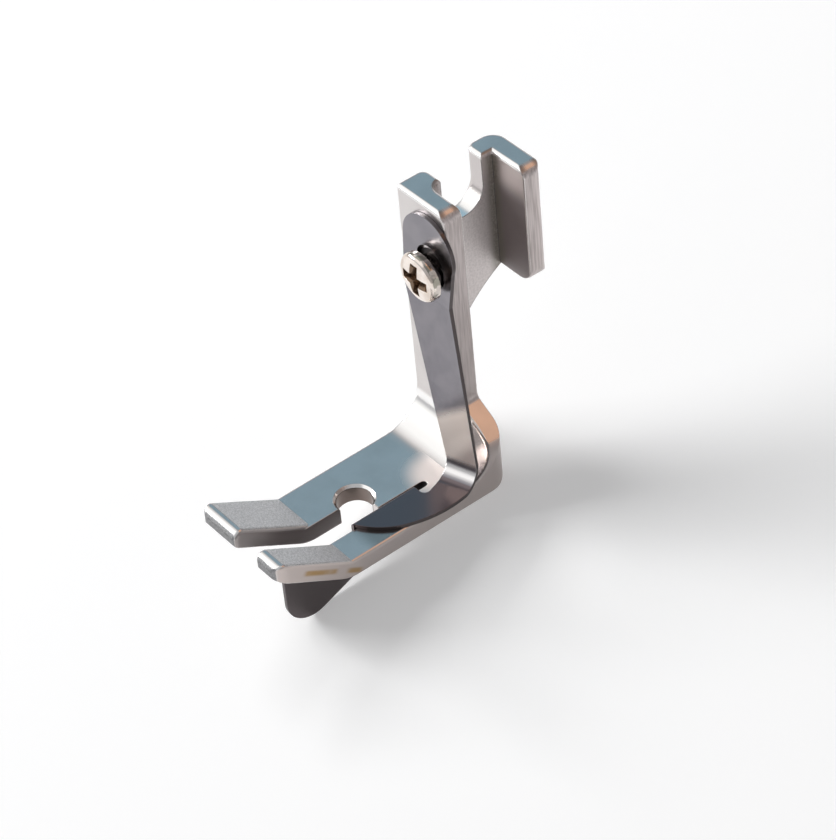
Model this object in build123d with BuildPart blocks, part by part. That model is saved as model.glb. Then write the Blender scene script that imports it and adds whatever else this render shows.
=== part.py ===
import os
from math import atan2, cos, hypot, radians, sin, tan

from build123d import *

# Sizes in mm. Sketches count from one datum corner:
# the sole's left side, the plate's front face and the sole's underside.

# Clamp end, sized by the presser bar and the clamp screw it takes.
bar_diameter = 7.24
bar_play = 0.16
clamp_screw_diameter = 4.37
clamp_screw_play = 0.43
clamp_height = 26.8
horn_rise = 3.3
web_thick = 2.4
flange_thick = 2.3
flange_reach = 4.6
flange_foot = 16.6
flange_corner = 1.8
flange_back_round = 1.7
flange_end_round = 1.2
flange_low_round = 1.9
channel_corner = 1.3
horn_corner = 1.3
web_foot = 8.4
web_sag = 0.6

# Plate, heel and sole.
plate_width = 7.0
plate_thick = 2.1
sole_width = 11.8
sole_thick = 1.9
ankle_radius = 4.3
heel_radius = 1.9
heel_side_radius = 2.7
shoulder_inner = 7.4
shoulder_outer = 4.45
shoulder_hollow = 1.0
shoulder_round = 2.8

# Toes, needle hole and guide slot.
crease = 17.3
toe_length = 9.1
toe_angle = 30.4
toe_bend_radius = 4.0
tip_round = 0.75
toe_inner_corner = 0.45
toe_left_corner = 1.0
toe_right_corner = 1.3
left_toe = 5.35
toe_gap = 3.2
gap_end = 11.1
needle_x = 5.25
needle_y = 12.0
needle_radius = 1.8
needle_break = 0.25
slot_width = 0.8
slot_end = 5.6

# Guide leaf, one folded strip.
leaf_thick = 0.4
leaf_seat_gap = 0.02
head_x = 4.7
head_z = 25.4
head_radius = 3.6
neck_z = 19.6
neck_left = 0.5
neck_right = 7.2
bend_left = (9.25, -5.1)
bend_right = (12.4, -4.05)
bend_radius = 1.85
strap_slant = 9.0
relief_radius = 0.6
relief_y = 7.1
tip_y = 14.55
leg_bulge = (12.6, -6.3)
leg_turn = (11.75, -10.6)
leg_front = (10.2, -13.05)
fold_radius = 0.35
blade_side_gap = 0.12
blade_top = 1.0
blade_front = 22.95
blade_rake = 21.8
nose_radius = 2.9
nose_break = 0.5

# Shoulder screw.
screw_x = 4.9
screw_z = 22.9
screw_head_diameter = 5.1
screw_head_height = 1.25
screw_head_crown = 0.45
screw_head_round = 0.5
screw_stand_off = 0.85
screw_collar_diameter = 3.4
screw_collar_play = 0.2
screw_thread_diameter = 2.5
screw_thread_fit = 0.02
screw_tip_gap = 0.1
leaf_slot_rise = 0.9
recess_span = 3.6
recess_width = 1.15
recess_depth = 0.95
recess_taper = 22.0

# Edge breaks.
clamp_break = 0.45
notch_break = 0.9
flange_break = 0.25
sole_break = 0.3

top_height = clamp_height + horn_rise
channel = bar_diameter + bar_play
notch_width = clamp_screw_diameter + clamp_screw_play
flange_x = web_thick + flange_reach
flange_y = plate_thick + channel
back_y = flange_y + flange_thick
channel_mid = plate_thick + channel / 2
toe_rise = radians(toe_angle)
tip_top = (-crease - toe_length * cos(toe_rise), sole_thick + toe_length * sin(toe_rise))
tip_low = (tip_top[0] - sole_thick * sin(toe_rise), tip_top[1] - sole_thick * cos(toe_rise))
crease_low = -crease - sole_thick * tan(toe_rise / 2)
right_toe_x = left_toe + toe_gap

# The origin is the clamp axis on the seat face of the web.
datum = (-web_thick, -channel_mid, -clamp_height)
side_plane = Plane(origin=datum, x_dir=(0, 1, 0), z_dir=(1, 0, 0))
front_plane = Plane(origin=datum, x_dir=(1, 0, 0), z_dir=(0, -1, 0))
sole_plane = Plane(origin=datum)


def at(x, y, z):
    return Vector(datum[0] + x, datum[1] + y, datum[2] + z)


def corner(sketch, x, y):
    return sketch.vertices().sort_by_distance((x, y))[0]


def edge_at(part, x, y, z):
    return part.edges().sort_by_distance(at(x, y, z))[0]


with BuildPart() as foot:
    with BuildSketch(side_plane) as profile:
        with BuildLine():
            Polyline(
                (plate_thick, 0),
                (crease_low, 0),
                tip_low,
                tip_top,
                (-crease, sole_thick),
                (0, sole_thick),
                (0, top_height),
                (plate_thick, top_height),
                close=True,
            )
        make_face()
        fillet(corner(profile, plate_thick, 0), heel_radius)
        fillet(corner(profile, crease_low, 0), toe_bend_radius)
        fillet(corner(profile, 0, sole_thick), ankle_radius)
        fillet(corner(profile, *tip_top), tip_round)
        fillet(corner(profile, *tip_low), tip_round)
    extrude(amount=sole_width)

    tip_y_reach = profile.vertices().sort_by(Axis.X)[0].X
    with BuildSketch(sole_plane) as outline:
        with Locations((0, plate_thick)):
            Rectangle(sole_width, plate_thick - tip_y_reach, align=(Align.MIN, Align.MAX))
        with Locations((left_toe, -gap_end)):
            Rectangle(toe_gap, 2 * crease, align=(Align.MIN, Align.MAX), mode=Mode.SUBTRACT)
        fillet(corner(outline, 0, tip_y_reach), toe_left_corner)
        fillet(corner(outline, left_toe, tip_y_reach), toe_inner_corner)
        fillet(corner(outline, right_toe_x, tip_y_reach), toe_inner_corner)
        fillet(corner(outline, sole_width, tip_y_reach), toe_right_corner)
        fillet(corner(outline, sole_width, plate_thick), heel_side_radius)
        with Locations((needle_x, -needle_y)):
            Circle(needle_radius, mode=Mode.SUBTRACT)
        with Locations((right_toe_x - slot_width / 2, -slot_end - slot_width / 2)):
            Circle(slot_width / 2, mode=Mode.SUBTRACT)
            Rectangle(slot_width, gap_end - slot_end, align=(Align.CENTER, Align.MAX), mode=Mode.SUBTRACT)
    extrude(amount=top_height, mode=Mode.INTERSECT)

    with BuildSketch(front_plane.offset(-back_y)) as shoulder:
        with BuildLine():
            Polyline(
                (plate_width, shoulder_inner),
                (sole_width, shoulder_outer),
                (sole_width, sole_thick),
                (2 * sole_width, sole_thick),
                (2 * sole_width, 2 * top_height),
                (plate_width, 2 * top_height),
                close=True,
            )
        make_face()
        fillet(corner(shoulder, plate_width, shoulder_inner), shoulder_hollow)
        fillet(corner(shoulder, sole_width, shoulder_outer), shoulder_round)
    extrude(amount=back_y + ankle_radius + sole_thick, mode=Mode.SUBTRACT)

    with BuildSketch(side_plane):
        with BuildLine():
            web_mid = (channel_mid - web_sag, (web_foot + flange_foot) / 2 + web_sag)
            ThreePointArc((plate_thick, web_foot), web_mid, (flange_y, flange_foot))
            Polyline(
                (flange_y, flange_foot),
                (back_y, flange_foot),
                (back_y, top_height),
                (plate_thick / 2, top_height),
                (plate_thick / 2, web_foot),
                (plate_thick, web_foot),
            )
        make_face()
    extrude(amount=web_thick)

    with BuildSketch(front_plane.offset(-back_y)) as flange:
        with Locations((0, flange_foot)):
            Rectangle(flange_x, top_height - flange_foot, align=(Align.MIN, Align.MIN))
        fillet(corner(flange, flange_x, flange_foot), flange_corner)
    extrude(amount=flange_thick)

    with BuildSketch(sole_plane):
        with Locations((0, back_y)):
            Rectangle(flange_back_round, flange_back_round, align=(Align.MIN, Align.MAX))
        with Locations((flange_back_round, back_y - flange_back_round)):
            Circle(flange_back_round, mode=Mode.SUBTRACT)
    extrude(amount=top_height, mode=Mode.SUBTRACT)
    with BuildSketch(sole_plane):
        with Locations((flange_x, back_y)):
            Rectangle(flange_end_round, flange_end_round, align=(Align.MAX, Align.MAX))
        with Locations((flange_x - flange_end_round, back_y - flange_end_round)):
            Circle(flange_end_round, mode=Mode.SUBTRACT)
    extrude(amount=top_height, mode=Mode.SUBTRACT)
    with BuildSketch(side_plane):
        with Locations((back_y, flange_foot)):
            Rectangle(flange_low_round, flange_low_round, align=(Align.MAX, Align.MIN))
        with Locations((back_y - flange_low_round, flange_foot + flange_low_round)):
            Circle(flange_low_round, mode=Mode.SUBTRACT)
    extrude(amount=flange_x, mode=Mode.SUBTRACT)

    fillet(edge_at(foot, web_thick, plate_thick, clamp_height), channel_corner)

    with BuildSketch(side_plane.offset(-web_thick)):
        with Locations((channel_mid, clamp_height)):
            Circle(notch_width / 2)
            Rectangle(notch_width, top_height, align=(Align.CENTER, Align.MIN))
    extrude(amount=3 * web_thick, mode=Mode.SUBTRACT)

    toe_mid = ((tip_top[0] - crease) / 2, (tip_top[1] + sole_thick) / 2)
    notch_rim = edge_at(foot, 0, channel_mid, clamp_height - notch_width / 2)
    fillet(notch_rim, notch_break)
    deck_rim = edge_at(foot, 0, -gap_end, sole_thick)
    toe_rim = edge_at(foot, 0, *toe_mid)
    top_rim = foot.edges().group_by(Axis.Z)[-1]
    fillet([deck_rim, toe_rim] + top_rim, clamp_break)
    fillet(edge_at(foot, flange_x, flange_y, clamp_height), flange_break)
    right_rim = [edge_at(foot, sole_width, -gap_end, sole_thick), edge_at(foot, sole_width, *toe_mid)]
    fillet(right_rim, sole_break)
    chamfer(edge_at(foot, needle_x - needle_radius, -needle_y, sole_thick), needle_break)

    for reach, rear, depth in ((plate_width, plate_thick, plate_thick), (flange_x, back_y, flange_thick)):
        with BuildSketch(front_plane.offset(-rear)):
            with Locations((reach, top_height)):
                Rectangle(horn_corner, horn_corner, align=(Align.MAX, Align.MAX))
            with Locations((reach - horn_corner, top_height - horn_corner)):
                Circle(horn_corner, mode=Mode.SUBTRACT)
        extrude(amount=depth, mode=Mode.SUBTRACT)

    with BuildSketch(front_plane):
        with Locations((screw_x, screw_z)):
            Circle(screw_thread_diameter / 2 + screw_thread_fit)
    extrude(amount=-plate_thick, mode=Mode.SUBTRACT)

foot.part.label = "foot_body"

deck = sole_thick + leaf_seat_gap
bend_run = hypot(bend_right[0] - bend_left[0], bend_right[1] - bend_left[1])
bend_yaw = atan2(bend_right[1] - bend_left[1], bend_right[0] - bend_left[0])
bend_mid = ((bend_left[0] + bend_right[0]) / 2, (bend_left[1] + bend_right[1]) / 2)
bend_centre = at(*bend_mid, deck + leaf_thick + bend_radius)
across = Vector(cos(bend_yaw), sin(bend_yaw), 0)
ahead = Vector(sin(bend_yaw), -cos(bend_yaw), 0)
lean = radians(strap_slant)
strap_normal = ahead * cos(lean) + Vector(0, 0, sin(lean))
strap_end = bend_centre - strap_normal * bend_radius
strap_plane = Plane(origin=strap_end, x_dir=across, z_dir=across.cross(strap_normal))
neck_plane = Plane(origin=at((neck_left + neck_right) / 2, -leaf_seat_gap, neck_z))
blade_x = right_toe_x - blade_side_gap - leaf_thick
relief_x = bend_left[0] + (relief_y + bend_left[1]) * tan(bend_yaw)
rake = tan(radians(blade_rake))
leg_top = deck + leaf_thick

with BuildPart() as leaf:
    with BuildSketch(front_plane.offset(leaf_seat_gap)):
        with Locations((head_x, head_z)):
            Circle(head_radius)
        with BuildLine():
            Polyline(
                (neck_left, neck_z),
                (neck_right, neck_z),
                (head_x + head_radius, head_z),
                (head_x - head_radius, head_z),
                close=True,
            )
        make_face()
        with Locations((screw_x, screw_z + leaf_slot_rise / 2)):
            slot_round = screw_collar_diameter + 2 * screw_collar_play
            SlotCenterToCenter(leaf_slot_rise, slot_round, rotation=90, mode=Mode.SUBTRACT)
    extrude(amount=leaf_thick)

    with BuildSketch(neck_plane):
        Rectangle(neck_right - neck_left, leaf_thick, align=(Align.CENTER, Align.MAX))
    with BuildSketch(strap_plane):
        Rectangle(bend_run, leaf_thick, align=(Align.CENTER, Align.MAX))
    loft()

    with BuildSketch(strap_plane):
        Rectangle(bend_run, leaf_thick, align=(Align.CENTER, Align.MAX))
    revolve(axis=Axis(bend_centre, -across), revolution_arc=90 - strap_slant)

    with BuildSketch(sole_plane.offset(deck)) as leg:
        with BuildLine():
            Line(bend_left, bend_right)
            ThreePointArc(bend_right, leg_bulge, leg_turn)
            ThreePointArc(leg_turn, leg_front, (blade_x, -tip_y))
            Polyline((blade_x, -tip_y), (blade_x, -relief_y), (relief_x, -relief_y), bend_left)
        make_face()
        fillet(corner(leg, relief_x, -relief_y), relief_radius)
    extrude(amount=leaf_thick)

    with BuildSketch(side_plane.offset(blade_x)) as blade:
        with BuildLine():
            Polyline(
                (-relief_y, leg_top),
                (-tip_y, leg_top),
                (-tip_y, blade_top),
                (-blade_front, blade_top),
                (-blade_front, -rake * (blade_front - slot_end)),
                (-relief_y, -rake * (relief_y - slot_end)),
                close=True,
            )
        make_face()
        fillet(corner(blade, -blade_front, -rake * (blade_front - slot_end)), nose_radius)
        fillet(corner(blade, -blade_front, blade_top), nose_break)
        fillet(corner(blade, -tip_y, blade_top), nose_break)
    extrude(amount=leaf_thick)
    fillet(edge_at(leaf, blade_x, -(relief_y + tip_y) / 2, leg_top), fold_radius)

leaf.part.label = "guide_leaf"

collar_length = leaf_seat_gap + leaf_thick + screw_stand_off

with BuildPart() as screw:
    with BuildSketch(front_plane.offset(screw_tip_gap - plate_thick)):
        with Locations((screw_x, screw_z)):
            Circle(screw_thread_diameter / 2)
    extrude(amount=plate_thick - screw_tip_gap)
    with BuildSketch(front_plane):
        with Locations((screw_x, screw_z)):
            Circle(screw_collar_diameter / 2)
    extrude(amount=collar_length)
    with BuildSketch(side_plane.offset(screw_x)) as head:
        with BuildLine():
            rim = screw_z + screw_head_diameter / 2
            crown_y = -collar_length - screw_head_height
            rim_y = crown_y + screw_head_crown
            crown_bow = (crown_y + screw_head_crown / 4, (screw_z + rim) / 2)
            ThreePointArc((crown_y, screw_z), crown_bow, (rim_y, rim))
            Polyline((rim_y, rim), (-collar_length, rim), (-collar_length, screw_z), (crown_y, screw_z))
        make_face()
        fillet(corner(head, rim_y, rim), screw_head_round)
    revolve(axis=Axis(at(screw_x, 0, screw_z), (0, 1, 0)))
    with BuildSketch(front_plane.offset(collar_length + screw_head_height)):
        with Locations((screw_x, screw_z)):
            Rectangle(recess_span, recess_width)
            Rectangle(recess_width, recess_span)
    extrude(amount=-recess_depth, taper=recess_taper, mode=Mode.SUBTRACT)

screw.part.label = "guide_screw"

os.makedirs("parts", exist_ok=True)
for piece in (foot, leaf, screw):
    print(piece.part.label, "valid" if piece.part.is_valid else "not valid")
    export_step(piece.part, f"parts/{piece.part.label}.step")
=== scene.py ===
import math

import bpy
from mathutils import Matrix, Vector


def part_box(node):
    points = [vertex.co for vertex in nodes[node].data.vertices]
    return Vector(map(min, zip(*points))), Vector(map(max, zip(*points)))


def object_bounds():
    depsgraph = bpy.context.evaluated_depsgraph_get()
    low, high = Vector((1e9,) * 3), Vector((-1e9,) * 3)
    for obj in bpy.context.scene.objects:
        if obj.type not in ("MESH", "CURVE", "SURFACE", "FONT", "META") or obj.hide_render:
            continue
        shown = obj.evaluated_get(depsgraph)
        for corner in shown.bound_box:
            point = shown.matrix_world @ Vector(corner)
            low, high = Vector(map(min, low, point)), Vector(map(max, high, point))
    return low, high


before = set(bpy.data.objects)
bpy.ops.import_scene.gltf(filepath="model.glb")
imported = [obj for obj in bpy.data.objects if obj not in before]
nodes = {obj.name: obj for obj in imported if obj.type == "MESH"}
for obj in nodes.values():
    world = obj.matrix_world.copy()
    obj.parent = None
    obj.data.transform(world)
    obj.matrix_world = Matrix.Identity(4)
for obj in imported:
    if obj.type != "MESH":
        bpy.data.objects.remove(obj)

cadLow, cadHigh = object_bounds()
scene = bpy.context.scene
print("frame loaded:", ", ".join(sorted(nodes)))


# Small helpers for node trees
def newMaterial(name):
    material = bpy.data.materials.new(name)
    material.use_nodes = True
    tree = material.node_tree
    tree.nodes.clear()
    return material, tree


def setInput(tree, socket, value):
    if isinstance(value, bpy.types.NodeSocket):
        tree.links.new(value, socket)
    else:
        socket.default_value = value


def addNode(tree, kind, inputs=None, **settings):
    node = tree.nodes.new(kind)
    for key, value in settings.items():
        setattr(node, key, value)
    for key, value in (inputs or {}).items():
        setInput(tree, node.inputs[key], value)
    return node


def math2(tree, operation, a, b=0.0, clamp=False):
    return addNode(tree, "ShaderNodeMath", {0: a, 1: b}, operation=operation, use_clamp=clamp).outputs[0]


def vectorMath(tree, operation, a, b):
    return addNode(tree, "ShaderNodeVectorMath", {0: a, 1: b}, operation=operation).outputs


def dot(tree, a, b):
    return vectorMath(tree, "DOT_PRODUCT", a, b)["Value"]


def ramp(tree, value, low, high, toLow=0.0, toHigh=1.0):
    limits = {0: value, 1: low, 2: high, 3: toLow, 4: toHigh}
    return addNode(tree, "ShaderNodeMapRange", limits, interpolation_type="SMOOTHSTEP").outputs[0]


def mixColour(tree, factor, a, b):
    return addNode(tree, "ShaderNodeMix", {0: factor, 6: a, 7: b}, data_type="RGBA").outputs[2]


def mixValue(tree, factor, a, b):
    return addNode(tree, "ShaderNodeMix", {0: factor, 2: a, 3: b}).outputs[0]


def noise(tree, place, scale, detail):
    inputs = {"Vector": place, "Scale": scale, "Detail": detail}
    return addNode(tree, "ShaderNodeTexNoise", inputs).outputs[0]


def both(tree, *masks):
    result = masks[0]
    for mask in masks[1:]:
        result = math2(tree, "MULTIPLY", result, mask)
    return result


def either(tree, *masks):
    result = masks[0]
    for mask in masks[1:]:
        result = math2(tree, "MAXIMUM", result, mask)
    return result


def outside(tree, mask):
    return math2(tree, "SUBTRACT", 1.0, mask)


def above(tree, value, limit):
    return math2(tree, "GREATER_THAN", value, limit)


def below(tree, value, limit):
    return math2(tree, "LESS_THAN", value, limit)


def band(tree, value, low, high, soft):
    rises = ramp(tree, value, low - soft, low + soft)
    return both(tree, rises, ramp(tree, value, high + soft, high - soft))


def insideBox(tree, axes, low, high):
    sides = []
    for axis in range(3):
        sides += [above(tree, axes[axis], low[axis]), below(tree, axes[axis], high[axis])]
    return both(tree, *sides)


def squaredReach(tree, first, second, centre):
    a = math2(tree, "SUBTRACT", first, centre[0])
    b = math2(tree, "SUBTRACT", second, centre[1])
    return math2(tree, "ADD", math2(tree, "MULTIPLY", a, a), math2(tree, "MULTIPLY", b, b))


def ringMask(tree, first, second, centre, radius):
    return below(tree, squaredReach(tree, first, second, centre), radius ** 2)


def patchMask(tree, first, second, centre, reach):
    return ramp(tree, math2(tree, "SQRT", squaredReach(tree, first, second, centre)), *reach)


def surface(tree):
    coords = addNode(tree, "ShaderNodeTexCoord")
    place = coords.outputs["Object"]
    axes = addNode(tree, "ShaderNodeSeparateXYZ", {0: place}).outputs
    facing = addNode(tree, "ShaderNodeSeparateXYZ", {0: coords.outputs["Normal"]}).outputs
    return place, axes, facing


def stretch(tree, place, scale):
    return addNode(tree, "ShaderNodeMapping", {"Vector": place, "Scale": scale}).outputs[0]


# What the three metals share
metal = {
    "edgeSamples": 8,
    "rubbedAt": (0.995, 0.90),                 # cosines where edge wear starts and is full
    "roughClouds": (0.3, 0.7),                 # noise levels of the least and the most rough
    "bumpDepth": 0.00003,
}


def softNormal(tree, radius):
    return addNode(tree, "ShaderNodeBevel", {"Radius": radius}, samples=metal["edgeSamples"]).outputs[0]


def rubbedEdges(tree, rounded):
    true = addNode(tree, "ShaderNodeNewGeometry").outputs["Normal"]
    return ramp(tree, dot(tree, rounded, true), *metal["rubbedAt"])


def cloudyLook(tree, clouds, s):
    return {"colour": mixColour(tree, ramp(tree, clouds, *s["clouded"]), s["colour"], s["worn"]),
            "rough": ramp(tree, clouds, *metal["roughClouds"], *s["rough"])}


def cover(tree, look, mask, colour, rough):
    look["colour"] = mixColour(tree, mask, look["colour"], colour)
    look["rough"] = mixValue(tree, mask, look["rough"], rough)


def metalSkin(tree, look, height, strength, rounded):
    bump = addNode(tree, "ShaderNodeBump", {"Strength": strength, "Distance": metal["bumpDepth"],
                                            "Height": height, "Normal": rounded})
    skin = addNode(tree, "ShaderNodeBsdfPrincipled", {"Base Color": look["colour"],
                                                      "Roughness": look["rough"],
                                                      "Normal": bump.outputs[0]})
    skin.inputs["Metallic"].default_value = 1.0
    out = addNode(tree, "ShaderNodeOutputMaterial")
    tree.links.new(skin.outputs[0], out.inputs[0])


def paint(node, material):
    mesh = nodes[node].data
    mesh.materials.clear()
    mesh.materials.append(material)


# Ground steel of the foot. Places are in metres, scales per metre, and Turn, Up, Back and Front values
# say how far a face looks right, up, back or to the front.
footSteel = {
    "colour": (0.67, 0.637, 0.625, 1.0),
    "worn": (0.61, 0.578, 0.565, 1.0),
    "clouded": (0.35, 0.75),                   # noise levels where the worn tone starts and is full
    "cloudScale": 260.0,
    "cloudDetail": 4.0,
    "rough": (0.16, 0.24),
    "grain": 0.05,
    "fineDetail": 2.0,
    "streakScale": (5200.0, 5200.0, 260.0),
    "edgeRadius": 0.00014,
    "wearAndSheen": (0.80, 0.77, 0.755, 1.0),        # edges

    "rimHighlight": (0.98, 0.97, 0.96, 1.0),       # painted highlight on the ankle and rims, on faces that look up and to the front
    "rimsUp": (0.16, 0.95),
    "rimsSoft": 0.06,
    "rimsFront": -0.12,
    "shade": (0.28, 0.254, 0.25, 1.0),         # ankle beyond the strap
    "shadeLow": (0.0062, -0.0086, -0.0248),
    "shadeHigh": (0.0094, -0.0057, -0.0185),

    "deckRough": 0.24,
    "deckRoughUp": (0.93, 0.99),
    "deckUp": 0.97,
    "deckTop": -0.0245,
    "deckReflection": (1.0, 0.93, 0.90, 1.0),       # painted reflection on the deck between the ankle and the guide
    "deckReflectionRough": 0.62,
    "deckReflectionAt": (0.0054, -0.0098),
    "deckReflectionReach": (0.0040, 0.0014),
    "deckLeafReflection": (0.40, 0.38, 0.365, 1.0),        # painted reflection of the leaf on the deck in front of the guide, darker towards the back
    "deckLeafReflectionFrom": (-0.0214, -0.0196),
    "deckLeafReflectionTo": -0.0160,
    "deckLeafReflectionSide": 0.0058,

    "side": (0.54, 0.483, 0.472, 1.0),         # sheared right sides and brushed upright, with painted shade where faces turn right, away from the lamps
    "sideTurn": (0.58, 0.80),
    "sideStreak": (0.42, 0.372, 0.362, 1.0),
    "streaked": (0.35, 0.7),
    # the painted shade is graded: lighter towards the top of the upright, darker low down, lighter towards
    # the front of the toe
    "sideTop": (0.60, 0.54, 0.53, 1.0),
    "sideTopFrom": (-0.0125, -0.0030),
    "sideRough": 0.38,
    "lowSide": (0.50, 0.447, 0.43, 1.0),
    "lowSideFrom": (-0.0160, -0.0225),
    "toeSide": (0.56, 0.495, 0.47, 1.0),
    "toeSideFrom": (-0.0205, -0.0245),
    # painted shade on the left toe's inner side, between the toes
    "innerToe": (0.34, 0.31, 0.305, 1.0),
    "innerToeSide": 0.0032,

    "ochre": (0.42, 0.27, 0.12, 1.0),          # ochre patches along the right toe's side
    "ochreRuns": ((-0.0056, -0.0016), (-0.0002, 0.0016)),
    "ochreRunSoft": 0.0004,
    "ochreDepth": (-0.00125, -0.0007),
    "ochreDepthSoft": 0.00016,
    "ochreScale": 500.0,
    "ochreDetail": 3.0,
    "ochreFaint": (0.25, 0.6, 0.55, 0.95),     # two noise levels and the strength at each

    "corner": (0.30, 0.275, 0.265, 1.0),       # top right corners, with painted shade except in the middle
    "cornerFrom": 0.0008,
    "cornerTurn": (0.2, 0.93),
    "cornerTurnSoft": 0.1,
    "cornerUp": 0.25,
    "cornerBright": ((-0.0052, -0.0042), (0.0043, 0.0054)),
    "cornerBrightSoft": 0.0003,

    "crease": (0.0, -0.0231, -0.0249),
    "toeAngle": 30.4,
    "toeBack": (0.36, 0.46),
    "toeUp": 0.7,
    "toeTip": -0.0300,
    "tipFront": (-0.74, -0.82),
    "blasted": (0.60, 0.60, 0.612, 1.0),       # toe tops
    "blastedDark": (0.405, 0.41, 0.42, 1.0),
    "tip": (0.30, 0.30, 0.305, 1.0),
    "tipDark": (0.20, 0.20, 0.205, 1.0),
    "speckled": (0.36, 0.64),
    "blastScale": 7000.0,
    "blastedRough": 0.40,
    "blastedGrain": 0.6,

    "channelLow": (-0.00006, -0.00376, -0.0196),
    "channelHigh": (0.00436, 0.00376, 0.00286),
    "webTurn": (0.5, 0.8),
    "plateBack": (-0.0130, -0.0085),           # heights where the plate's back takes on the finish
    "milled": (0.70, 0.65, 0.64, 1.0),
    "milledDark": (0.61, 0.565, 0.555, 1.0),
    "milledRough": 0.50,
    "mottleScale": 4400.0,
    "mottleDetail": 5.0,
    "mottled": (0.36, 0.62),
    "farWall": 0.0035,
    "farWallFront": -0.5,
    "farWallShade": (0.27, 0.238, 0.238, 1.0),        # painted shade on the far wall of the channel, lighter near the top
    "farWallShadeTop": (0.60, 0.53, 0.51, 1.0),
    "farWallShadeFrom": (0.0014, -0.0014),
    "webCornerDark": (0.30, 0.28, 0.25, 1.0),           # darker in patches in the corner between the web and the flange
    "webCornerAt": (0.0, 0.0037),
    "webCornerReach": (0.0014, 0.0002),
    "webCornerPatches": (0.25, 0.6, 0.45, 1.0),

    # painted light in the notch: faces that look up are lighter, the walls darker
    "notch": (0.60, 0.56, 0.55, 1.0),
    "notchFloor": (0.97, 0.96, 0.95, 1.0),
    "notchUp": (0.35, 0.75),
    "notchLow": (-0.0025, -0.00246, -0.0026),
    "notchHigh": (-0.00004, 0.00246, 0.00286),
    "hole": (0.20, 0.162, 0.145, 1.0),         # painted shade on the wall of the needle hole
    "needle": (0.00285, -0.0178),              # x and y
    "needleRadius": 0.00188,
    "needleUp": 0.5,
    "deepShade": (0.10, 0.092, 0.092, 1.0),         # painted shade round the screw, in the slot and in the channel's corners
    "screwAxis": (0.0025, -0.0039),            # x and z
    "screwRing": 0.0022,
    "plateFront": (-0.0059, -0.0054),
    "slotLow": (0.0052, -0.0146, -0.027),
    "slotHigh": (0.0063, -0.0113, -0.02493),
}


def ochrePatches(tree, s, place, side):
    tilt = (-math.radians(s["toeAngle"]), 0.0, 0.0)
    toe = addNode(tree, "ShaderNodeMapping", {"Vector": place, "Location": s["crease"], "Rotation": tilt},
                  vector_type="TEXTURE").outputs[0]
    axes = addNode(tree, "ShaderNodeSeparateXYZ", {0: toe}).outputs
    runs = [band(tree, axes[1], low, high, s["ochreRunSoft"]) for low, high in s["ochreRuns"]]
    depth = band(tree, axes[2], *s["ochreDepth"], s["ochreDepthSoft"])
    faint = ramp(tree, noise(tree, place, s["ochreScale"], s["ochreDetail"]), *s["ochreFaint"])
    return both(tree, either(tree, *runs), depth, faint, side)


# painted shade on the rounded top right corners, except in a middle band
def hornCorners(tree, s, axes, facing):
    middles = [band(tree, axes[1], low, high, s["cornerBrightSoft"]) for low, high in s["cornerBright"]]
    turned = both(tree, band(tree, facing[0], *s["cornerTurn"], s["cornerTurnSoft"]),
                  above(tree, facing[2], s["cornerUp"]))
    return both(tree, turned, above(tree, axes[2], s["cornerFrom"]), outside(tree, either(tree, *middles)))


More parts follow.
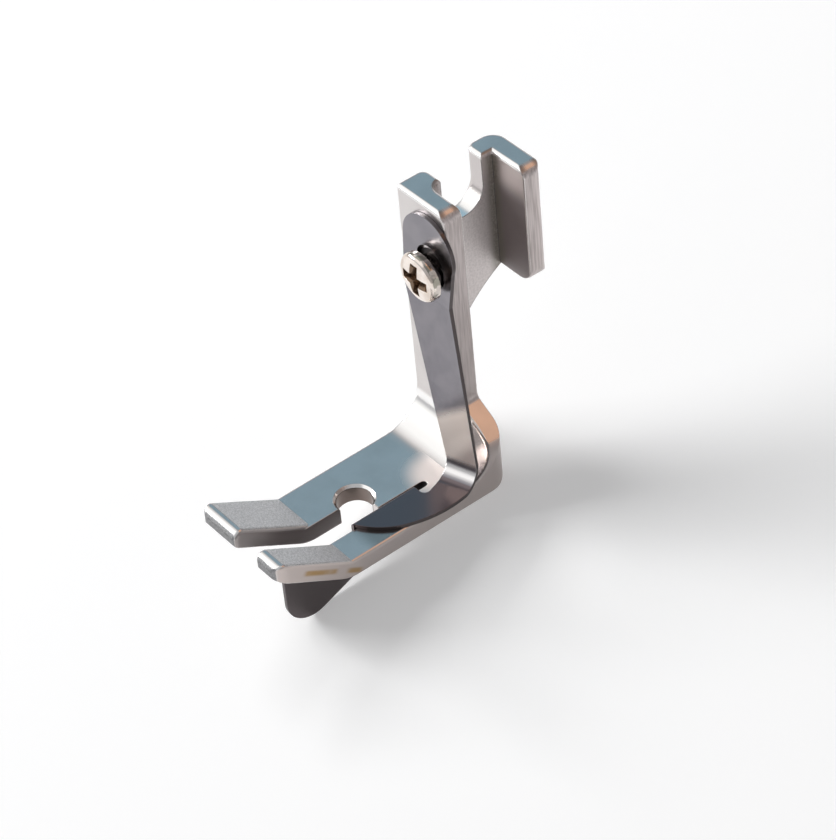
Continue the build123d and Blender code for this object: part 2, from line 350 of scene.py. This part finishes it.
def makeFootSteel(s):
    material, tree = newMaterial("groundSteel")
    place, axes, facing = surface(tree)
    clouds = noise(tree, place, s["cloudScale"], s["cloudDetail"])
    blast = noise(tree, place, s["blastScale"], s["fineDetail"])
    streaks = noise(tree, stretch(tree, place, s["streakScale"]), 1.0, s["fineDetail"])
    mottle = noise(tree, place, s["mottleScale"], s["mottleDetail"])
    rounded = softNormal(tree, s["edgeRadius"])
    wearAndSheen = rubbedEdges(tree, rounded)
    look = cloudyLook(tree, clouds, s)
    look["rough"] = mixValue(tree, ramp(tree, facing[2], *s["deckRoughUp"]), look["rough"], s["deckRough"])

    # Ankle, rims and deck, with a painted highlight, painted shade and painted reflections
    # painted highlight on faces that look up and to the front
    rims = both(tree, band(tree, facing[2], *s["rimsUp"], s["rimsSoft"]),
                below(tree, facing[1], s["rimsFront"]))
    cover(tree, look, rims, s["rimHighlight"], s["rough"][0])
    cover(tree, look, insideBox(tree, axes, s["shadeLow"], s["shadeHigh"]), s["shade"], s["deckRough"])
    deck = both(tree, above(tree, facing[2], s["deckUp"]), below(tree, axes[2], s["deckTop"]))
    # painted reflection: a pale patch on the deck beside the ankle
    deckReflection = both(tree, deck, patchMask(tree, axes[0], axes[1], s["deckReflectionAt"], s["deckReflectionReach"]))
    cover(tree, look, deckReflection, s["deckReflection"], s["deckReflectionRough"])
    # painted reflection of the leaf, dark on the deck just in front of it
    deckLeafReflection = both(tree, deck, above(tree, axes[0], s["deckLeafReflectionSide"]), ramp(tree, axes[1], *s["deckLeafReflectionFrom"]),
                  below(tree, axes[1], s["deckLeafReflectionTo"]))
    cover(tree, look, deckLeafReflection, s["deckLeafReflection"], s["deckRough"])

    # Right sides, with painted shade
    cover(tree, look, hornCorners(tree, s, axes, facing), s["corner"], s["sideRough"])
    # painted shade on faces that turn right, mixed with the brushed streaks
    side = ramp(tree, facing[0], *s["sideTurn"])
    upright = mixColour(tree, ramp(tree, axes[2], *s["sideTopFrom"]), s["side"], s["sideTop"])
    shearedAndShaded = mixColour(tree, ramp(tree, streaks, *s["streaked"]), upright, s["sideStreak"])
    shearedAndShaded = mixColour(tree, ramp(tree, axes[2], *s["lowSideFrom"]), shearedAndShaded, s["lowSide"])
    shearedAndShaded = mixColour(tree, ramp(tree, axes[1], *s["toeSideFrom"]), shearedAndShaded, s["toeSide"])
    cover(tree, look, side, shearedAndShaded, s["sideRough"])
    cover(tree, look, ochrePatches(tree, s, place, side), s["ochre"], s["sideRough"])
    # painted shade on the left toe's inner side
    inner = both(tree, side, below(tree, axes[0], s["innerToeSide"]), below(tree, axes[1], s["needle"][1]))
    cover(tree, look, inner, s["innerToe"], s["sideRough"])

    # Toes
    onToe = below(tree, axes[1], s["crease"][1])
    toes = both(tree, onToe, ramp(tree, facing[1], *s["toeBack"]), above(tree, facing[2], s["toeUp"]))
    tips = both(tree, below(tree, axes[1], s["toeTip"]), ramp(tree, facing[1], *s["tipFront"]))
    speckle = ramp(tree, blast, *s["speckled"])
    cover(tree, look, toes, mixColour(tree, speckle, s["blastedDark"], s["blasted"]), s["blastedRough"])
    cover(tree, look, tips, mixColour(tree, speckle, s["tipDark"], s["tip"]), s["blastedRough"])

    # Notch and bar channel, with painted light and shade
    notch = mixColour(tree, ramp(tree, facing[2], *s["notchUp"]), s["notch"], s["notchFloor"])
    cover(tree, look, insideBox(tree, axes, s["notchLow"], s["notchHigh"]), notch, s["deckRough"])
    webFace = either(tree, ramp(tree, facing[0], *s["webTurn"]), ramp(tree, axes[2], *s["plateBack"]))
    channel = both(tree, insideBox(tree, axes, s["channelLow"], s["channelHigh"]), webFace)
    milled = mixColour(tree, ramp(tree, mottle, *s["mottled"]), s["milledDark"], s["milled"])
    cover(tree, look, channel, milled, s["milledRough"])
    # painted shade on the channel's far wall, lighter near the top
    farWall = both(tree, channel, above(tree, axes[1], s["farWall"]),
                   below(tree, facing[1], s["farWallFront"]))
    farWallShade = mixColour(tree, ramp(tree, axes[2], *s["farWallShadeFrom"]), s["farWallShadeTop"], s["farWallShade"])
    cover(tree, look, farWall, farWallShade, s["milledRough"])
    inCorner = patchMask(tree, axes[0], axes[1], s["webCornerAt"], s["webCornerReach"])
    webCornerDark = both(tree, channel, inCorner, ramp(tree, mottle, *s["webCornerPatches"]))
    cover(tree, look, webCornerDark, s["webCornerDark"], s["milledRough"])

    # Needle hole, edges and painted shade
    # painted shade on the needle hole's wall
    hole = both(tree, ringMask(tree, axes[0], axes[1], s["needle"], s["needleRadius"]),
                below(tree, facing[2], s["needleUp"]))
    cover(tree, look, hole, s["hole"], s["deckRough"])
    convex = both(tree, outside(tree, channel), above(tree, axes[2], s["crease"][2]))
    cover(tree, look, both(tree, wearAndSheen, convex), s["wearAndSheen"], s["rough"][0])
    # painted shade on the edges inside the channel
    cover(tree, look, both(tree, wearAndSheen, channel), s["deepShade"], s["milledRough"])
    plate = both(tree, above(tree, axes[1], s["plateFront"][0]), below(tree, axes[1], s["plateFront"][1]))
    # painted shade round the screw and in the slot
    deepShade = both(tree, plate, ringMask(tree, axes[0], axes[2], s["screwAxis"], s["screwRing"]))
    deepShade = either(tree, deepShade, insideBox(tree, axes, s["slotLow"], s["slotHigh"]))
    cover(tree, look, deepShade, s["deepShade"], s["milledRough"])

    coarse = either(tree, toes, tips, channel)
    height = mixValue(tree, coarse, streaks, blast)
    strength = mixValue(tree, coarse, s["grain"], s["blastedGrain"])
    metalSkin(tree, look, height, strength, rounded)
    return material


paint("foot_body", makeFootSteel(footSteel))

# Blued spring steel of the guide
leafSteel = {
    "colour": (0.262, 0.250, 0.270, 1.0),
    "worn": (0.232, 0.222, 0.244, 1.0),
    "clouded": (0.35, 0.7),
    "cloudScale": 420.0,
    "cloudDetail": 4.0,
    "rough": (0.17, 0.25),
    "grain": 0.04,
    "grainScale": 6500.0,
    "grainDetail": 2.0,
    "edgeRadius": 0.00007,

    "edge": (0.10, 0.086, 0.086, 1.0),         # painted shade on the edge that faces right
    "edgeTurn": 0.6,
    # painted shade on the blade below the deck
    "blade": (0.115, 0.10, 0.102, 1.0),
    "deckHeight": -0.0249,
    # painted shade on the leg lying on the deck
    "leg": (0.18, 0.148, 0.156, 1.0),
    "legTop": -0.0243,
    # painted highlight across the bend
    "bend": (0.95, 0.93, 0.93, 1.0),
    "bendHeight": (-0.0241, -0.0233),
    "bendSoft": 0.0002,

    "wearAndSheen": (0.99, 0.895, 0.83, 1.0),        # painted reflection on the lower strap, with a slanted upper edge
    "sheenRough": 0.30,
    "sheenFrom": (-0.0174, -0.0189),
    "sheenTo": (-0.0231, -0.0224),
    "sheenSlope": 0.67,
    "strapMiddle": (0.00574, -0.00788, -0.0177),
    "across": (0.949, 0.316, 0.0),

    "leafShade": (0.16, 0.15, 0.158, 1.0),       # painted shade on the edges round the screw and along the top
    "leafShadeRough": 0.42,
    "leafShadeReach": 0.0027,
    "leafShadeTop": 0.0012,
    "leafShadeFront": -0.9,
}


def makeLeafSteel(s):
    material, tree = newMaterial("bluedSteel")
    place, axes, facing = surface(tree)
    clouds = noise(tree, place, s["cloudScale"], s["cloudDetail"])
    grain = noise(tree, place, s["grainScale"], s["grainDetail"])
    look = cloudyLook(tree, clouds, s)

    # painted shade round the screw and along the leaf's top
    nearScrew = ringMask(tree, axes[0], axes[2], footSteel["screwAxis"], s["leafShadeReach"])
    leafShade = either(tree, nearScrew, above(tree, axes[2], s["leafShadeTop"]))
    turned = above(tree, facing[1], s["leafShadeFront"])
    cover(tree, look, both(tree, leafShade, turned), s["leafShade"], s["leafShadeRough"])

    # painted reflection lightening the lower strap
    fromMiddle = vectorMath(tree, "SUBTRACT", place, s["strapMiddle"])[0]
    slant = math2(tree, "MULTIPLY", dot(tree, fromMiddle, s["across"]), s["sheenSlope"])
    aslant = math2(tree, "SUBTRACT", axes[2], slant)
    wearAndSheen = both(tree, ramp(tree, aslant, *s["sheenFrom"]), ramp(tree, axes[2], *s["sheenTo"]))
    cover(tree, look, wearAndSheen, s["wearAndSheen"], s["sheenRough"])
    # painted highlight across the bend
    cover(tree, look, band(tree, axes[2], *s["bendHeight"], s["bendSoft"]), s["bend"], s["rough"][0])
    # painted shade on the leg lying on the deck
    cover(tree, look, below(tree, axes[2], s["legTop"]), s["leg"], s["rough"][0])

    # painted shade on the leaf's right-facing edge
    edge = both(tree, above(tree, axes[2], s["deckHeight"]), above(tree, facing[0], s["edgeTurn"]))
    cover(tree, look, edge, s["edge"], s["rough"][1])
    # painted shade on the blade below the deck
    cover(tree, look, below(tree, axes[2], s["deckHeight"]), s["blade"], s["rough"][1])
    metalSkin(tree, look, grain, s["grain"], softNormal(tree, s["edgeRadius"]))
    return material


paint("guide_leaf", makeLeafSteel(leafSteel))

# Nickel plate of the screw
screwNickel = {
    "colour": (0.90, 0.82, 0.76, 1.0),
    "worn": (0.72, 0.62, 0.54, 1.0),
    "clouded": (0.35, 0.7),
    "cloudScale": 900.0,
    "cloudDetail": 3.0,
    "rough": (0.07, 0.15),
    "grain": 0.03,
    "edgeRadius": 0.0001,

    "blotchedSide": (0.36, 0.34, 0.29, 1.0),       # blotches round the head
    "sideScale": 1300.0,
    "sideDetail": 2.0,
    "sideBlotches": (0.40, 0.56),
    "sideFront": -0.6,
    "recessBrown": (0.22, 0.155, 0.11, 1.0),         # darker brown in the recess
    "recessDepth": 0.0006,
    "recessReach": 0.0019,
    "recessFront": -0.7,
    # painted shade on the collar under the head
    "collar": (0.15, 0.132, 0.125, 1.0),
    "collarDepth": 0.00126,
}


def makeScrewNickel(s):
    material, tree = newMaterial("nickelPlate")
    place, axes, facing = surface(tree)
    clouds = noise(tree, place, s["cloudScale"], s["cloudDetail"])
    look = cloudyLook(tree, clouds, s)

    blotch = ramp(tree, noise(tree, place, s["sideScale"], s["sideDetail"]), *s["sideBlotches"])
    turned = above(tree, facing[1], s["sideFront"])
    cover(tree, look, both(tree, turned, blotch), s["blotchedSide"], s["rough"][1])
    depth = math2(tree, "SUBTRACT", axes[1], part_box("guide_screw")[0].y)
    sunk = either(tree, above(tree, facing[1], s["recessFront"]), above(tree, depth, s["recessDepth"]))
    recess = both(tree, sunk, ringMask(tree, axes[0], axes[2], footSteel["screwAxis"], s["recessReach"]))
    cover(tree, look, recess, s["recessBrown"], s["rough"][1])
    # painted shade on the collar under the head
    cover(tree, look, above(tree, depth, s["collarDepth"]), s["collar"], s["rough"][1])
    metalSkin(tree, look, clouds, s["grain"], softNormal(tree, s["edgeRadius"]))
    return material


paint("guide_screw", makeScrewNickel(screwNickel))
print("finishes made")

# Camera at the photograph's angle, worked out for an 836 by 840 image
photoView = {
    "azimuth": 55.09,
    "elevation": 41.88,
    "roll": -5.89,
    "distance": 0.33097,
    "target": (-0.002593, -0.0058, -0.025964),
    "lens": 146.99,
    "nearest": 0.01,
}


def makeCamera(s):
    azimuth, elevation, roll = (math.radians(s[key]) for key in ("azimuth", "elevation", "roll"))
    back = Vector((math.sin(azimuth) * math.cos(elevation), -math.cos(azimuth) * math.cos(elevation),
                   math.sin(elevation)))
    right = Vector((math.cos(azimuth), math.sin(azimuth), 0))
    up = back.cross(right)
    rolledRight = right * math.cos(roll) + up * math.sin(roll)
    rolledUp = up * math.cos(roll) - right * math.sin(roll)
    camera = bpy.data.objects.new("photoCamera", bpy.data.cameras.new("photoCamera"))
    scene.collection.objects.link(camera)
    camera.data.sensor_fit = "HORIZONTAL"
    camera.data.lens = s["lens"]
    camera.data.clip_start = s["nearest"]
    turn = Matrix((rolledRight, rolledUp, back)).transposed().to_4x4()
    camera.matrix_world = Matrix.Translation(Vector(s["target"]) + back * s["distance"]) @ turn
    scene.camera = camera


makeCamera(photoView)

# The foot lies on its heel and the guide's nose, so the floor leans against the foot's own frame
floorPlan = {
    "lean": 15.44,
    "heel": (0.0, -0.0056, -0.0249),           # centre of the heel's rounding
    "heelRound": 0.0019,
    "size": 3.0,
    "colour": (0.80, 0.80, 0.80, 1.0),
    "lift": 0.30,                              # glow that the camera and reflections see
    "fade": (0.10, 0.32),                      # distances where the floor turns to the plain backdrop
    "far": (0.97, 0.97, 0.97, 1.0),
}


def makeFloor(s):
    lean = math.radians(s["lean"])
    up = Vector((0, -math.sin(lean), math.cos(lean)))
    along = Vector((0, math.cos(lean), math.sin(lean)))
    middle = Vector(s["heel"]) - up * s["heelRound"]
    across = Vector((1, 0, 0))
    half = s["size"] / 2
    signs = ((-1, -1), (1, -1), (1, 1), (-1, 1))
    corners = [middle + across * half * i + along * half * j for i, j in signs]
    mesh = bpy.data.meshes.new("floor")
    mesh.from_pydata(corners, [], [(0, 1, 2, 3)])
    floor = bpy.data.objects.new("floor", mesh)
    scene.collection.objects.link(floor)

    material, tree = newMaterial("paleFloor")
    path = addNode(tree, "ShaderNodeLightPath")
    seen = math2(tree, "ADD", path.outputs["Is Camera Ray"], path.outputs["Is Glossy Ray"])
    seen = math2(tree, "ADD", seen, path.outputs["Is Transmission Ray"], clamp=True)
    matt = addNode(tree, "ShaderNodeBsdfDiffuse", {"Color": s["colour"]})
    glow = addNode(tree, "ShaderNodeEmission", {"Strength": math2(tree, "MULTIPLY", seen, s["lift"])})
    pale = addNode(tree, "ShaderNodeAddShader", {0: matt.outputs[0], 1: glow.outputs[0]})
    place = addNode(tree, "ShaderNodeTexCoord").outputs["Object"]
    reach = vectorMath(tree, "DISTANCE", place, tuple(middle))["Value"]
    distant = both(tree, seen, ramp(tree, reach, *s["fade"]))
    backdrop = addNode(tree, "ShaderNodeEmission", {"Color": s["far"]})
    pale = addNode(tree, "ShaderNodeMixShader", {0: distant, 1: pale.outputs[0], 2: backdrop.outputs[0]})
    clear = addNode(tree, "ShaderNodeBsdfTransparent")
    underside = addNode(tree, "ShaderNodeNewGeometry").outputs["Backfacing"]
    oneSided = addNode(tree, "ShaderNodeMixShader", {0: underside, 1: pale.outputs[0], 2: clear.outputs[0]})
    out = addNode(tree, "ShaderNodeOutputMaterial")
    tree.links.new(oneSided.outputs[0], out.inputs[0])
    mesh.materials.append(material)


makeFloor(floorPlan)

# A low window on the left, and a long strip that climbs from it to the back
window = {
    "name": "window",
    "towards": (-0.852, -0.463, 0.242),
    "along": (0.454, -0.859, -0.237),
    "distance": 1.5,
    "size": (0.76, 0.29),
    "radiance": 26.0,
    "mirrored": True,
}
strip = {
    "name": "strip",
    "towards": (-0.822, -0.124, 0.556),
    "along": (0.263, 0.663, 0.536),
    "distance": 1.5,
    "size": (1.50, 0.24),
    "radiance": 13.8,
    "mirrored": False,
}


def makeLamp(s):
    lamp = bpy.data.lights.new(s["name"], "AREA")
    lamp.shape = "RECTANGLE"
    lamp.size, lamp.size_y = s["size"]
    lamp.energy = s["radiance"] * math.pi * lamp.size * lamp.size_y
    holder = bpy.data.objects.new(s["name"], lamp)
    scene.collection.objects.link(holder)
    towards = Vector(s["towards"]).normalized()
    upright = towards.cross(Vector(s["along"])).normalized()
    turn = Matrix((upright.cross(towards), upright, towards)).transposed().to_4x4()
    holder.matrix_world = Matrix.Translation((cadLow + cadHigh) / 2 + towards * s["distance"]) @ turn
    holder.visible_camera = False
    holder.visible_glossy = s["mirrored"]


makeLamp(window)
makeLamp(strip)

# A pale room, with three tones that only the metal mirrors
room = {
    "plain": (0.22, 0.22, 0.225, 1.0),
    "seen": (0.97, 0.97, 0.97, 1.0),           # as the camera sees it
    "walls": (0.43, 0.43, 0.44, 1.0),          # as the metal mirrors it
    "bright": (1.0, 0.995, 0.985, 1.0),
    "brightTowards": (-0.60, -0.55, 0.58),
    "brightReach": (0.70, 0.84),               # cosines where the tone starts and is full
    "cool": (0.305, 0.46, 0.555, 1.0),
    "coolTowards": (-0.58, 0.50, 0.66),
    "coolReach": (0.925, 0.965),
    "warm": (0.95, 0.60, 0.42, 1.0),
    "warmTowards": (0.36, 0.43, 0.83),
    "warmReach": (0.92, 0.975),
}


def makeRoom(s):
    world = bpy.data.worlds.new("paleRoom")
    world.use_nodes = True
    tree = world.node_tree
    tree.nodes.clear()
    look = addNode(tree, "ShaderNodeTexCoord").outputs["Generated"]
    mirrored = s["walls"]
    for tone in ("bright", "cool", "warm"):
        near = dot(tree, look, tuple(Vector(s[tone + "Towards"]).normalized()))
        mirrored = mixColour(tree, ramp(tree, near, *s[tone + "Reach"]), mirrored, s[tone])
    path = addNode(tree, "ShaderNodeLightPath")
    colour = mixColour(tree, path.outputs["Is Glossy Ray"], s["plain"], mirrored)
    colour = mixColour(tree, path.outputs["Is Camera Ray"], colour, s["seen"])
    sky = addNode(tree, "ShaderNodeBackground", {"Color": colour})
    out = addNode(tree, "ShaderNodeOutputWorld")
    tree.links.new(sky.outputs[0], out.inputs[0])
    scene.world = world


makeRoom(room)
scene.view_settings.view_transform = "Standard"
print("camera, floor and light set")
